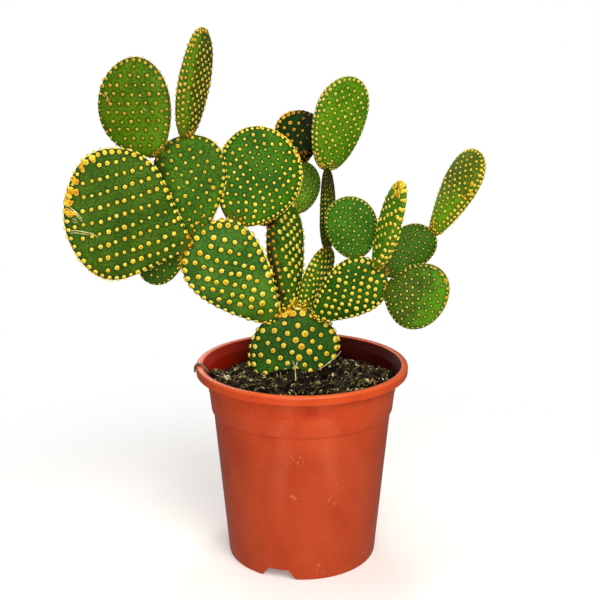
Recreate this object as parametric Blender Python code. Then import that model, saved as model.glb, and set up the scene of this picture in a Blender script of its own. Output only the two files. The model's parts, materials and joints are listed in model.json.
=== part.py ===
"""Bunny ears cactus in a nursery pot: jointed pads with raised areoles, the soil and the pot.

Metres, Z up, the pot's base on Z = 0 with its axis on Z, and the photographed side facing -Y.
Every pad is an egg-shaped lens that stands on the rim of the pad below it.
"""

import math
import random
from bisect import bisect

import bmesh
import bpy
from mathutils import Matrix, Vector, noise

MM = 0.001
GAP = 0.0003
CUT_GAP = 0.0006
SEED = 41

# Pot, as a lathe profile.
STEPS = 48
FOOT_RADIUS = 0.0608
STEP_HEIGHT = 0.1235
STEP_RADIUS = 0.0720
BAND_RADIUS = 0.0732
BAND_TOP_RADIUS = 0.0765
LIP_BOTTOM = 0.1536
LIP_RADIUS = 0.0850
MOUTH_RADIUS = 0.0795
POT_HEIGHT = 0.1608
WALL = 0.0017
SKIRT = 0.0022
PAN_RADIUS = 0.0440
PAN_SLANT = 0.0015
RECESS = 0.0095
FLOOR = 0.0113
NOTCHES = 3
NOTCH_ANGLE = math.radians(-90 - 17.6)
NOTCH_TOP_WIDTH = 0.017
NOTCH_BOTTOM_WIDTH = 0.026
NOTCH_HEIGHT = 0.008
NOTCH_DEPTH = 0.007

# Soil.
SOIL_LEVEL = 0.1500
SIDE_RISE = 0.0030
FRONT_FALL = 0.0015
BACK_FALL = 0.0085
SOIL_RINGS = (1.0, 0.93, 0.82, 0.70, 0.57, 0.43, 0.29, 0.14)
LUMP_SIZE = 0.013
LUMP_HEIGHT = 0.0022

# Pads: the shape of the cross-section, and the areoles.
ROUNDNESS = 0.82
BELLY = 0.7
SECTION_POINTS = 48
RINGS = 40
TUFT_SIDES = 4
TUFT_SPREAD = 0.24
TUFT_HEIGHT = 0.19
RIM_CLOSER = 0.86
KEEP_CLEAR = 0.0012
CLEAR_SHARE = 0.3
RIM_GAP = 0.74
BARE_FOOT = 0.09
TOP_THINNER = 0.25
NIP_REACH = 0.64
CREASE_ANGLE = math.radians(34)
BURIED_BELOW = 0.1545


def pad(name, on, at, lean, pitch, turn, length, width, thick, egg, spacing, colour,
        taper=1.0, sweep=0.0, sink=3.0, off=0.0, foot=None, nip=0.0):
    """One pad in millimetres and degrees. at is how far round the parent's rim it stands,
    0 at the parent's foot and 1 at its tip, negative on the left side. nip is the share of
    its right half that is missing at the foot."""
    return dict(
        name=name, on=on, at=at, lean=math.radians(lean), pitch=math.radians(pitch),
        turn=math.radians(turn), length=length * MM, width=width * MM, thick=thick * MM,
        egg=egg, spacing=spacing * MM, colour=colour, taper=taper, sweep=sweep * MM,
        sink=sink * MM, off=off * MM, foot=foot, nip=nip,
    )


DEEP = (0.035, 0.11, 0.03)
MID = (0.055, 0.14, 0.025)
BRIGHT = (0.10, 0.22, 0.02)
DARK = (0.012, 0.04, 0.008)

PADS = [
    pad("base_pad", None, 0, -3, 0, 8, 84, 74, 24, 0.06, 12.5, DEEP, foot=(-0.003, 0, 0.1206),
        nip=0.86),
    pad("left_low_pad", "base_pad", -0.86, -42, 17, -5, 101, 64, 17, 0.49, 12.5, DEEP,
        sweep=9.2, sink=5, off=3),
    pad("far_left_pad", "left_low_pad", -0.915, -68.5, 21, 4, 102, 94, 11, 0.42, 10.5, MID,
        taper=3.5, sweep=15.5, sink=5, off=4),
    pad("hidden_left_pad", "left_low_pad", -0.83, -125, -24, 0, 49, 26, 10, 0.3, 9.5, DARK,
        taper=1.5, sink=4, off=-3),
    pad("left_mid_pad", "left_low_pad", 1.04, -2.5, -1, 0, 76.5, 54.5, 10, 0.33, 9.5, MID,
        sweep=2.4, off=-2.4),
    pad("upper_left_pad", "left_mid_pad", -0.735, -30.5, -5, -15, 72, 61, 11.5, 0.2, 9.5, BRIGHT,
        taper=1.5, sweep=11),
    pad("left_upright_pad", "left_mid_pad", 1.02, 11, 0, 70, 80, 46, 11.5, 0.11, 9.5, MID,
        sweep=-1.3),
    pad("mid_top_pad", "left_low_pad", 0.75, 30, -21, 5, 79.5, 66, 11, 0.18, 9.5, DEEP,
        taper=1.25, sweep=-3.3, sink=5, off=-5),
    pad("centre_pad", "base_pad", 1.03, -2.3, -16, 59, 92, 50, 15, 0.36, 11, DEEP,
        sweep=3.2, sink=5, off=-5),
    pad("centre_back_pad", "base_pad", 0.93, 28.5, -24, 57, 58, 38, 12, 0.25, 9.5, MID,
        sweep=-2.8, sink=4, off=-4),
    pad("right_low_pad", "base_pad", 0.83, 49, 14, 0, 70.5, 45.5, 15, 0.45, 10, DEEP,
        sink=5, off=3),
    pad("mid_back_pad", "centre_pad", 0.82, 3, -6, 10, 44, 38, 11, 0.15, 9, MID),
    pad("dark_back_pad", "mid_back_pad", 0.98, -5, -12, -8, 43, 38, 12, 0.25, 10, DARK),
    pad("tail_back_pad", "centre_pad", -0.7, -34, -18, -10, 46, 36, 11, 0.25, 10, DARK),
    pad("stalk_pad", "centre_back_pad", 1.1, 0, -8, 80, 66, 34, 11, 0.2, 10, DARK),
    pad("top_right_pad", "stalk_pad", 1.0, 14, 10, 33, 76.5, 49, 12, 0.2, 9.5, BRIGHT,
        taper=0.8),
    pad("round_right_pad", "right_low_pad", -0.76, -9.4, -4, -5, 49, 40.5, 10.5, 0.1, 9, MID,
        sweep=-1, off=-3.5),
    pad("right_upright_pad", "right_low_pad", -0.955, 12.5, 19, -74, 77, 33, 11, 0.21, 9.5, BRIGHT,
        sweep=4.4, off=2),
    pad("right_mid_pad", "right_low_pad", 0.95, 48, -19, -10, 54, 34, 10, 0.25, 9.5, MID,
        sweep=3, sink=4, off=-3),
    pad("right_round_low_pad", "right_low_pad", 0.81, 105, 19, 0, 50.5, 53.5, 11, 0.17, 9, MID,
        taper=1.5, sweep=-6.5, sink=4, off=3),
    pad("far_right_pad", "right_mid_pad", 0.96, 30, -8, -64, 75, 43, 12, 0.48, 9.5, BRIGHT,
        sweep=-5),
]


def material(name, colour, roughness):
    made = bpy.data.materials.new(name)
    made.use_nodes = True
    shader = made.node_tree.nodes["Principled BSDF"]
    shader.inputs["Base Color"].default_value = (*colour, 1)
    shader.inputs["Roughness"].default_value = roughness
    return made


def add_object(name, bm, colour, roughness):
    mesh = bpy.data.meshes.new(name)
    bm.to_mesh(mesh)
    bm.free()
    mesh.materials.append(material(name, colour, roughness))
    mesh.shade_smooth()
    mesh.set_sharp_from_angle(angle=CREASE_ANGLE)
    made = bpy.data.objects.new(name, mesh)
    bpy.context.collection.objects.link(made)
    return made


def face_outward(bm):
    bmesh.ops.recalc_face_normals(bm, faces=bm.faces)
    if bm.calc_volume(signed=True) < 0:
        bmesh.ops.reverse_faces(bm, faces=bm.faces)


def cut(target, cutter):
    cutter.hide_render = True
    cutter.display_type = "WIRE"
    modifier = target.modifiers.new("cut_" + cutter.name, "BOOLEAN")
    modifier.operation = "DIFFERENCE"
    modifier.solver = "EXACT"
    modifier.object = cutter


def direction_frame(lean, pitch, turn):
    """The pad's axis from foot to tip, its sideways direction and its face normal."""
    axis = Vector((math.sin(lean) * math.cos(pitch), -math.sin(pitch),
                   math.cos(lean) * math.cos(pitch)))
    front = Vector((0, -1, 0))
    normal = (front - axis * front.dot(axis)).normalized()
    side = axis.cross(normal)
    return (axis, side * math.cos(turn) - normal * math.sin(turn),
            normal * math.cos(turn) + side * math.sin(turn))


def egg_outline(p, angle):
    """Half the width at this angle, 0 at the foot and pi at the tip, before scaling."""
    rise = max(math.sin(angle), 1e-9)
    power = 1 + (p["taper"] - 1) * 0.5 * (1 + math.cos(angle))
    return rise ** power * (1 - p["egg"] * math.cos(angle))


def outer_envelope(points):
    """The points that a taut string over the outline touches."""
    kept = []
    for x, y in points:
        while len(kept) > 1:
            (x0, y0), (x1, y1) = kept[-2:]
            if (x1 - x0) * (y - y0) < (y1 - y0) * (x - x0):
                break
            kept.pop()
        kept.append((x, y))
    return kept


def give_shape(p):
    """Adds the outline of the pad, as half widths over the distance from the foot."""
    angles = [math.pi * i / 120 for i in range(121)]
    widest = max(egg_outline(p, a) for a in angles)
    raw = [(p["length"] * (0.5 - 0.5 * math.cos(a)),
            0.5 * p["width"] * egg_outline(p, a) / widest) for a in angles]
    p["outline"] = outer_envelope(raw)
    p["heights"] = [z for z, _ in p["outline"]]


def half_width(p, z):
    i = min(max(bisect(p["heights"], z), 1), len(p["heights"]) - 1)
    (z0, w0), (z1, w1) = p["outline"][i - 1], p["outline"][i]
    return max(w0 + (w1 - w0) * (z - z0) / (z1 - z0), 1e-6)


def half_thickness(p, z):
    along = min(max(1 - 2 * z / p["length"], -1), 1)
    return max(0.5 * p["thick"] * (1 - along * along) ** (BELLY / 2) * (1 + TOP_THINNER * along), 1e-6)


def fullness(p, point, margin=0.0):
    """Under 1 inside the pad grown by the margin, in the pad's straight frame."""
    x, y, z = point
    if z <= -margin or z >= p["length"] + margin:
        return 9.0
    z = min(max(z, 0.004 * p["length"]), 0.996 * p["length"])
    power = 2 / ROUNDNESS
    return (abs(x) / (half_width(p, z) + margin)) ** power + (
        abs(y) / (half_thickness(p, z) + margin)) ** power


def on_surface(p, point):
    """The point moved to the surface, along the line from the middle of the pad."""
    middle = Vector((0, 0, min(max(point.z, 0.3 * p["length"]), 0.7 * p["length"])))
    way = point - middle
    low, high = 0.0, 2.0
    for _ in range(30):
        half = 0.5 * (low + high)
        if fullness(p, middle + way * half) < 1:
            low = half
        else:
            high = half
    return middle + way * low


def section_point(p, z, phase):
    c, s = math.cos(phase), math.sin(phase)
    return Vector((
        math.copysign(abs(c) ** ROUNDNESS, c) * half_width(p, z),
        math.copysign(abs(s) ** ROUNDNESS, s) * half_thickness(p, z),
        z,
    ))


def normal_at(p, point):
    """The outward normal, from how the fullness grows around the point."""
    step = 0.0002
    grown = [fullness(p, point + Vector(d) * step) - fullness(p, point - Vector(d) * step)
             for d in ((1, 0, 0), (0, 1, 0), (0, 0, 1))]
    if abs(grown[2]) > 4:
        grown = [0, 0, grown[2]]
    return Vector(grown).normalized()


def right_share(p, along):
    """What is left of the pad's right half at this height, where the foot is nipped in."""
    return 1 - p["nip"] * max(0, 1 - along / NIP_REACH) ** 1.2


def swept(p, point):
    """The pad's gentle sideways curve, which grows towards the tip, and its nipped foot."""
    along = min(max(point.z / p["length"], 0), 1)
    x = point.x * right_share(p, along) if point.x > 0 else point.x
    return Vector((x + p["sweep"] * along * along, point.y, point.z))


def unswept(p, point):
    along = min(max(point.z / p["length"], 0), 1)
    x = point.x - p["sweep"] * along * along
    return Vector((x / right_share(p, along) if x > 0 else x, point.y, point.z))


def to_world(p, point):
    moved = swept(p, point)
    return p["origin"] + p["side"] * moved.x + p["normal"] * moved.y + p["axis"] * moved.z


def to_local(p, point):
    offset = point - p["origin"]
    straight = Vector((offset.dot(p["side"]), offset.dot(p["normal"]), offset.dot(p["axis"])))
    return unswept(p, straight)


def stand_pads():
    """Gives every pad its frame: the foot sits a little inside the rim of its parent."""
    placed = {}
    for p in PADS:
        give_shape(p)
        p["axis"], p["side"], p["normal"] = direction_frame(p["lean"], p["pitch"], p["turn"])
        if p["on"] is None:
            p["origin"] = Vector(p["foot"])
        else:
            parent = placed[p["on"]]
            angle = abs(p["at"]) * math.pi
            left = p["at"] < 0
            if angle > math.pi:
                angle = 2 * math.pi - angle
                left = not left
            z = parent["length"] * (0.5 - 0.5 * math.cos(angle))
            x = half_width(parent, z) * (-1 if left else 1)
            rim = to_world(parent, Vector((x, p["off"], z)))
            p["origin"] = rim - p["axis"] * p["sink"]
        placed[p["name"]] = p
    return placed


def rim_points(p):
    """Evenly spaced points round the rim, from one side of the foot over the tip to the other."""
    line = [Vector((sign * half_width(p, z), 0, z)) for sign, zs in
            ((1, [p["length"] * i / 200 for i in range(12, 201)]),
             (-1, [p["length"] * i / 200 for i in range(199, 11, -1)])) for z in zs]
    lengths = [0.0]
    for a, b in zip(line, line[1:]):
        lengths.append(lengths[-1] + (b - a).length)
    count = round(lengths[-1] / (p["spacing"] * RIM_CLOSER))
    found = []
    for i in range(count + 1):
        j = min(bisect(lengths, lengths[-1] * i / count), len(line) - 1)
        found.append(line[j])
    return found


def face_points(p):
    """Points on crossing spirals round the pad, each with the same share of its surface."""
    heights = [p["length"] * (0.5 - 0.5 * math.cos(math.pi * (i + 0.5) / RINGS))
               for i in range(RINGS)]
    rounds = [[section_point(p, z, 2 * math.pi * k / SECTION_POINTS)
               for k in range(SECTION_POINTS + 1)] for z in heights]
    sums = []
    for line in rounds:
        total = [0.0]
        for a, b in zip(line, line[1:]):
            total.append(total[-1] + (b - a).length)
        sums.append(total)
    area = [0.0]
    for i in range(1, RINGS):
        slant = heights[i] - heights[i - 1]
        area.append(area[-1] + slant * 0.5 * (sums[i][-1] + sums[i - 1][-1]))
    count = round(area[-1] / (0.87 * p["spacing"] ** 2))
    golden = 0.5 * (math.sqrt(5) - 1)
    found = []
    for n in range(count):
        target = area[-1] * (n + 0.5) / count
        i = min(bisect(area, target), RINGS - 1)
        share = (target - area[i - 1]) / (area[i] - area[i - 1])
        z = heights[i - 1] + (heights[i] - heights[i - 1]) * share
        around = (n * golden) % 1 * sums[i][-1]
        k = min(bisect(sums[i], around), SECTION_POINTS)
        part = (around - sums[i][k - 1]) / (sums[i][k] - sums[i][k - 1])
        phase = 2 * math.pi * (k - 1 + part) / SECTION_POINTS
        found.append(section_point(p, z, phase))
    return found


def areoles(p):
    """The rim's row of areoles and those of the faces that stay clear of it."""
    chosen = rim_points(p)
    rim = list(chosen)
    for point in face_points(p):
        if all((point - other).length > RIM_GAP * p["spacing"] for other in rim):
            chosen.append(point)
    return chosen


def is_clear(p, point, others):
    """True where an areole has room: off the soil line and away from every other pad."""
    place = to_world(p, point)
    if place.z < BURIED_BELOW:
        return False
    room = KEEP_CLEAR + CLEAR_SHARE * p["spacing"]
    return all(fullness(q, to_local(q, place), room) > 1 for q in others if q is not p)


def tuft_ring(p, centre, normal, twist):
    across = normal.orthogonal().normalized()
    over = normal.cross(across)
    radius = TUFT_SPREAD * p["spacing"]
    ring = []
    for k in range(TUFT_SIDES):
        angle = twist + 2 * math.pi * k / TUFT_SIDES
        ring.append(on_surface(p, centre + (across * math.cos(angle) + over * math.sin(angle)) * radius))
    return ring


def foot_points(p):
    """Plain points that shape the narrow foot, where no areole grows."""
    found = []
    for share in (0.004, 0.03, 0.075):
        z = p["length"] * share
        for k in range(8):
            found.append(section_point(p, z, 2 * math.pi * k / 8))
    return found


def skin_points(p, others, chance):
    """The plain points and the tufts of one pad: rings of points, each with its apex."""
    plain = foot_points(p)
    plain.append(Vector((0, 0, 0.9999 * p["length"])))
    tufts = []
    for centre in areoles(p):
        if centre.z < BARE_FOOT * p["length"]:
            continue
        if not is_clear(p, centre, others):
            plain.append(centre)
            continue
        normal = normal_at(p, centre)
        ring = tuft_ring(p, centre, normal, chance.uniform(0, math.pi / 2))
        apex = centre + normal * (TUFT_HEIGHT * p["spacing"] * chance.uniform(0.9, 1.1))
        tufts.append((ring, apex))
    return plain, tufts


def hull_of(points):
    bm = bmesh.new()
    verts = [bm.verts.new(point) for point in points]
    result = bmesh.ops.convex_hull(bm, input=verts)
    spare = [v for v in result["geom_interior"] if isinstance(v, bmesh.types.BMVert)]
    bmesh.ops.delete(bm, geom=spare, context="VERTS")
    loose = [v for v in bm.verts if not v.link_faces]
    bmesh.ops.delete(bm, geom=loose, context="VERTS")
    return bm


def raise_tufts(bm, tufts):
    """Replaces the faces inside each ring of points by sides that meet at its apex."""
    near = {tuple(round(c, 7) for c in v.co): v for v in bm.verts}
    for ring, apex in tufts:
        found = [near.get(tuple(round(c, 7) for c in Vector(point))) for point in ring]
        if None in found:
            continue
        members = set(found)
        inner = {face for v in found for face in v.link_faces if set(face.verts) <= members}
        if len(inner) != TUFT_SIDES - 2:
            continue
        merged = list(inner)
        if len(merged) > 1:
            merged = bmesh.utils.face_join(merged)
        else:
            merged = merged[0]
        top = bmesh.ops.poke(bm, faces=[merged])["verts"][0]
        top.co = apex


def pad_mesh(p, plain, tufts):
    bm = hull_of(plain + [point for ring, _ in tufts for point in ring])
    raise_tufts(bm, tufts)
    for v in bm.verts:
        v.co = to_world(p, v.co)
    face_outward(bm)
    return bm


def grown_mesh(p, plain, tufts, by):
    """The pad without its tufts, grown on all sides, to cut the room for it out of a neighbour."""
    points = plain + [point for ring, _ in tufts for point in ring]
    grown = [point + normal_at(p, point) * by for point in points]
    bm = hull_of(grown)
    for v in bm.verts:
        v.co = to_world(p, v.co)
    face_outward(bm)
    return bm


def add_pads():
    chance = random.Random(SEED)
    stand_pads()
    made = {}
    cutters = {}
    for p in PADS:
        plain, tufts = skin_points(p, PADS, chance)
        made[p["name"]] = add_object(p["name"], pad_mesh(p, plain, tufts), p["colour"], 0.55)
        if p["on"] is None or any(q["on"] == p["name"] for q in PADS):
            room = grown_mesh(p, plain, tufts, CUT_GAP)
            cutters[p["name"]] = add_object(p["name"] + "_room", room, p["colour"], 0.55)
            cutters[p["name"]].hide_render = True
            cutters[p["name"]].display_type = "WIRE"
    for p in PADS:
        if p["on"]:
            cut(made[p["name"]], cutters[p["on"]])
    return cutters


def wall_line():
    """The outer face of the pot's wall from the foot up, as radius and height."""
    return [
        (FOOT_RADIUS - 0.0010, 0.0), (FOOT_RADIUS, 0.0014),
        (STEP_RADIUS - 0.0004, STEP_HEIGHT - 0.0004), (BAND_RADIUS, STEP_HEIGHT + 0.0006),
        (BAND_TOP_RADIUS, LIP_BOTTOM),
    ]


def inner_radius(z):
    """The inside of the wall, up to the lip."""
    line = wall_line()[1:]
    for (r0, z0), (r1, z1) in zip(line, line[1:]):
        if z <= z1:
            return r0 + (r1 - r0) * (z - z0) / (z1 - z0) - WALL
    return line[-1][0] - WALL


def pot_profile():
    """From the flat middle of the underside over the raised ring to the foot, up the wall,
    round the lip, and back inside."""
    top = POT_HEIGHT
    line = [(0.0, 0.0), (PAN_RADIUS, 0.0), (PAN_RADIUS + PAN_SLANT, RECESS),
            (FOOT_RADIUS - SKIRT - 0.0008, RECESS), (FOOT_RADIUS - SKIRT, 0.0)]
    line += wall_line()
    line += [
        (MOUTH_RADIUS + 0.0015, top - 0.0020),
        (LIP_RADIUS - 0.0022, top - 0.0020),
        (LIP_RADIUS - WALL, LIP_BOTTOM),
        (LIP_RADIUS - 0.0002, LIP_BOTTOM),
        (LIP_RADIUS, top - 0.0030),
        (LIP_RADIUS - 0.0010, top - 0.0009),
        (LIP_RADIUS - 0.0030, top),
        (MOUTH_RADIUS + 0.0009, top - 0.0001),
        (MOUTH_RADIUS, top - 0.0009),
        (inner_radius(LIP_BOTTOM), LIP_BOTTOM),
        (inner_radius(STEP_HEIGHT + 0.0006), STEP_HEIGHT + 0.0006),
        (inner_radius(STEP_HEIGHT - 0.0004), STEP_HEIGHT - 0.0004),
        (inner_radius(FLOOR + 0.002), FLOOR + 0.002),
        (inner_radius(FLOOR) - 0.002, FLOOR),
        (PAN_RADIUS, FLOOR), (PAN_RADIUS - PAN_SLANT, WALL),
        (0.0, WALL),
    ]
    return line


def lathe(name, profile, colour, roughness):
    """Turns a profile that starts and ends on the axis into a closed solid."""
    bm = bmesh.new()
    verts = [bm.verts.new((r, 0, z)) for r, z in profile]
    edges = [bm.edges.new(pair) for pair in zip(verts, verts[1:])]
    bmesh.ops.spin(bm, geom=verts + edges, cent=(0, 0, 0), axis=(0, 0, 1),
                   angle=2 * math.pi, steps=STEPS, use_merge=True)
    bmesh.ops.remove_doubles(bm, verts=bm.verts, dist=1e-6)
    face_outward(bm)
    return add_object(name, bm, colour, roughness)


def notch_cutter(number):
    """A wedge with slanting sides that opens the pot's bottom edge for drainage."""
    bm = bmesh.new()
    bmesh.ops.create_cube(bm, size=1)
    low, high = -0.004, NOTCH_HEIGHT
    for v in bm.verts:
        wide = NOTCH_TOP_WIDTH if v.co.z > 0 else NOTCH_BOTTOM_WIDTH + 0.0045
        v.co.x = FOOT_RADIUS + (0.008 if v.co.x > 0 else -NOTCH_DEPTH)
        v.co.y *= wide
        v.co.z = high if v.co.z > 0 else low
    angle = NOTCH_ANGLE + 2 * math.pi * number / NOTCHES
    bmesh.ops.rotate(bm, verts=bm.verts, cent=(0, 0, 0),
                     matrix=Matrix.Rotation(angle, 3, "Z"))
    face_outward(bm)
    return add_object("notch_room_" + str(number), bm, (0.5, 0.5, 0.5), 0.5)


def add_pot():
    pot = lathe("pot", pot_profile(), (0.42, 0.075, 0.028), 0.38)
    for number in range(NOTCHES):
        cut(pot, notch_cutter(number))


def soil_height(x, y):
    """The lumpy top of the soil, which has sunk along the back wall."""
    radius = math.hypot(x, y)
    back = min(max((y + 0.004) / 0.028, 0), 1)
    level = SOIL_LEVEL + (1 - back) * SIDE_RISE * (x / 0.07) ** 2
    level -= back * BACK_FALL * (radius / 0.073) ** 3 + FRONT_FALL * max(-y / 0.07, 0) ** 2
    lumps = noise.noise(Vector((x, y, 0.3)) / LUMP_SIZE) * LUMP_HEIGHT
    crumbs = noise.noise(Vector((x, y, 0.9)) / (0.4 * LUMP_SIZE)) * 0.5 * LUMP_HEIGHT
    return level + (lumps + crumbs) * min(1, (0.0749 - radius) / 0.004 + 0.25)


def add_soil(base_room):
    bm = bmesh.new()
    clear = GAP + 0.0003
    bottom = FLOOR + 1.5 * GAP
    line = [(PAN_RADIUS - PAN_SLANT - clear, WALL + 1.5 * GAP), (PAN_RADIUS - clear, bottom),
            (inner_radius(bottom) - clear - 0.0025, bottom)]
    line += [(inner_radius(z) - clear, z) for z in (STEP_HEIGHT - 0.0004, STEP_HEIGHT + 0.0006)]
    rings = [[bm.verts.new((r * math.cos(a), r * math.sin(a), z)) for a in turn_angles()]
             for r, z in line]
    for share in SOIL_RINGS:
        ring = []
        for a in turn_angles():
            edge = inner_radius(SOIL_LEVEL) - clear
            x, y = share * edge * math.cos(a), share * edge * math.sin(a)
            if share == 1.0:
                z = soil_height(x, y)
                edge = inner_radius(z) - clear
                x, y = edge * math.cos(a), edge * math.sin(a)
            ring.append(bm.verts.new((x, y, soil_height(x, y))))
        rings.append(ring)
    for low, high in zip(rings, rings[1:]):
        for k in range(STEPS):
            j = (k + 1) % STEPS
            bm.faces.new((low[k], low[j], high[j], high[k]))
    bm.faces.new(list(reversed(rings[0])))
    middle = bm.verts.new((0, 0, soil_height(0, 0)))
    for k in range(STEPS):
        bm.faces.new((rings[-1][k], rings[-1][(k + 1) % STEPS], middle))
    bmesh.ops.triangulate(bm, faces=bm.faces)
    face_outward(bm)
    soil = add_object("soil", bm, (0.018, 0.014, 0.010), 0.95)
    cut(soil, base_room)


def turn_angles():
    return [2 * math.pi * k / STEPS for k in range(STEPS)]


def clear_scene():
    for thing in list(bpy.data.objects):
        bpy.data.objects.remove(thing)


clear_scene()
add_pot()
rooms = add_pads()
add_soil(rooms["base_pad"])
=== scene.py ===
import json
import random
from functools import partial
from math import copysign, cos, hypot, pi, radians, sin, sqrt
from types import SimpleNamespace

import bpy
import numpy as np
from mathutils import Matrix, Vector, noise

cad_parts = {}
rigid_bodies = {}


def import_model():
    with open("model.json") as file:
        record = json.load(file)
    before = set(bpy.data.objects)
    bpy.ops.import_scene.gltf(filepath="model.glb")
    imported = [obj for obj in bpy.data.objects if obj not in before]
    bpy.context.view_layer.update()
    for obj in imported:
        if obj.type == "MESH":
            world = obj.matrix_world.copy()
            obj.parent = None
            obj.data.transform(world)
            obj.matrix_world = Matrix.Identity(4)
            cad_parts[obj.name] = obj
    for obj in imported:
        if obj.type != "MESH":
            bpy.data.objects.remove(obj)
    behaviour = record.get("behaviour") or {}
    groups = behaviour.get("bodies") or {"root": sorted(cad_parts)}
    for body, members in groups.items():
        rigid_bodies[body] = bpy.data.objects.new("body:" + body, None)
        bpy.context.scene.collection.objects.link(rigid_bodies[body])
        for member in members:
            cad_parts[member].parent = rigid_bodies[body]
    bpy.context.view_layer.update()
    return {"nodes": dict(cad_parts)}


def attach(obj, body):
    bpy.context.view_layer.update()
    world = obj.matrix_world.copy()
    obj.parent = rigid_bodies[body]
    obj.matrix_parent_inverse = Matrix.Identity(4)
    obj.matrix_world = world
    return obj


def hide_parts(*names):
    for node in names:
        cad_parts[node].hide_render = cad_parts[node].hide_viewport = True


# A bunny ears cactus in a plastic nursery pot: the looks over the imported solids.
# Metres, Z up, the pot's base at Z = 0 and the photographed side facing -Y.
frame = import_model()
mm = 0.001
print("frame loaded:", len(frame["nodes"]), "nodes")


def colour(code):
    # an sRGB hex as the linear values that a shader's socket holds
    parts = [int(code[i:i + 2], 16) / 255 for i in (1, 3, 5)]
    return [((c + 0.055) / 1.055) ** 2.4 if c > 0.04045 else c / 12.92 for c in parts] + [1.0]


def fill(tree, socket, value):
    # a value, a hex colour or another node's output
    if isinstance(value, bpy.types.NodeSocket):
        tree.links.new(value, socket)
    else:
        socket.default_value = colour(value) if isinstance(value, str) else value


def addNode(tree, kind, inputs=None, out=0, stops=None, **settings):
    # one node with its settings and links
    made = tree.nodes.new("ShaderNode" + kind)
    for name, value in settings.items():
        setattr(made, name, value)
    if stops:
        ends = made.color_ramp.elements
        for end, (place, code) in zip(ends, (stops[0], stops[-1])):
            end.position = place
            end.color = colour(code)
        for place, code in stops[1:-1]:
            ends.new(place).color = colour(code)
    for key, value in (inputs or {}).items():
        if key in ("From", "To"):
            # the two ends of a range
            fill(tree, made.inputs[key + " Min"], value[0])
            fill(tree, made.inputs[key + " Max"], value[1])
        else:
            fill(tree, made.inputs[key], value)
    return made.outputs[out]


def plugIn(material, **sockets):
    tree = material.node_tree
    for key, value in sockets.items():
        fill(tree, tree.nodes["Principled BSDF"].inputs[key.replace("_", " ")], value)


def newMaterial(name, **sockets):
    # the material, what adds a node to it, and the place on the object
    made = bpy.data.materials.new(name)
    made.use_nodes = True
    plugIn(made, **sockets)
    add = partial(addNode, made.node_tree)
    return made, add, add("TexCoord", out="Object")


def grainyMaterial(name, stops, traits=(), scale=160.0, detail=3.0, rough=0.5, lift=None, bump=None,
                   **sockets):
    # colours along a ramp, placed by the piece's own traits or else by a noise, whose grain can also
    # lighten and darken them and roughen the surface
    made, add, place = newMaterial(name, **sockets)
    grain = add("TexNoise", {"Vector": place, "Scale": scale, "Detail": detail, "Roughness": rough})
    marks = [add("Attribute", out="Fac", attribute_name=trait) for trait in traits] or [grain]
    mark = add("Math", dict(enumerate(marks)), operation="ADD") if len(marks) > 1 else marks[0]
    tint = add("ValToRGB", {"Fac": mark}, stops=stops)
    if lift:
        amount = add("MapRange", {"Value": grain, "From": (0.3, 0.7), "To": lift})
        tint = add("VectorMath", {0: tint, "Scale": amount}, operation="SCALE")
    plugIn(made, Base_Color=tint)
    if bump:
        plugIn(made, Normal=add("Bump", {"Height": grain, "Strength": bump[0], "Distance": bump[1]}))
    return made


def newPiece(name, operator, **settings):
    # a primitive, added with nothing else selected
    bpy.ops.object.select_all(action="DESELECT")
    operator(**settings)
    made = bpy.context.active_object
    made.name = made.data.name = name
    return made


def selectOnly(piece):
    bpy.ops.object.select_all(action="DESELECT")
    piece.select_set(True)
    bpy.context.view_layer.objects.active = piece


def startEdit():
    bpy.ops.object.mode_set(mode="EDIT")
    bpy.ops.mesh.select_all(action="SELECT")


def endEdit(operator, **settings):
    # one last operator on the whole mesh
    bpy.ops.mesh.select_all(action="SELECT")
    operator(**settings)
    bpy.ops.object.mode_set(mode="OBJECT")


def getVectors(piece, what="co"):
    flat = np.empty(len(piece.data.vertices) * 3, np.float32)
    piece.data.vertices.foreach_get(what, flat)
    return flat.reshape(-1, 3).astype(float)


def setPoints(piece, points):
    piece.data.vertices.foreach_set("co", np.asarray(points, np.float32).ravel())
    piece.data.update()


def setTrait(piece, name, values):
    made = piece.data.attributes.new(name, "FLOAT", "POINT")
    made.data.foreach_set("value", np.asarray(values, np.float32))


def dress(piece, material, slotName, *nodes):
    # finish, body and the solids that the piece stands for; slotName is not used
    piece.data.materials.clear()
    piece.data.materials.append(material)
    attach(piece, "root")
    if nodes:
        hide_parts(*nodes)


def smooth(values):
    eased = np.clip(values, 0, 1)
    return eased * eased * (3 - 2 * eased)


def nearest(points, centres, batch=4000):
    # for each point, how far the nearest centre is, and which one it is
    best = np.full(len(points), 9.0)
    which = np.zeros(len(points), int)
    for start in range(0, len(points), batch):
        some = points[start:start + batch]
        gaps = ((some[:, None, :] - centres[None, :, :]) ** 2).sum(2)
        which[start:start + batch] = gaps.argmin(1)
        best[start:start + batch] = np.sqrt(gaps.min(1))
    return best, which


def readShape(piece):
    # the points and triangles of a model, which is then removed
    points = getVectors(piece)
    faces = np.array([list(face.vertices) for face in piece.data.polygons])
    bpy.data.objects.remove(piece)
    return dict(points=points, faces=faces)


def stampCopies(name, shapes, picks, bases, origins, traits):
    # one mesh that holds a copy of a modelled shape at every place; a trait of None is the shape's own
    points, faces, start = [], [], 0
    marks = {key: [] for key in traits}
    for number, pick in enumerate(picks):
        shape = shapes[pick]
        points.append(shape["points"] @ bases[number] + origins[number])
        faces.append(shape["faces"] + start)
        start += len(shape["points"])
        for key, own in traits.items():
            marks[key].append(shape[key] if own is None else np.full(len(shape["points"]), own[number]))
    mesh = bpy.data.meshes.new(name)
    mesh.from_pydata(np.concatenate(points).tolist(), [], np.concatenate(faces).tolist())
    made = bpy.data.objects.new(name, mesh)
    bpy.context.collection.objects.link(made)
    for key, values in marks.items():
        setTrait(made, key, np.concatenate(values))
    mesh.shade_smooth()
    return made


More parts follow.
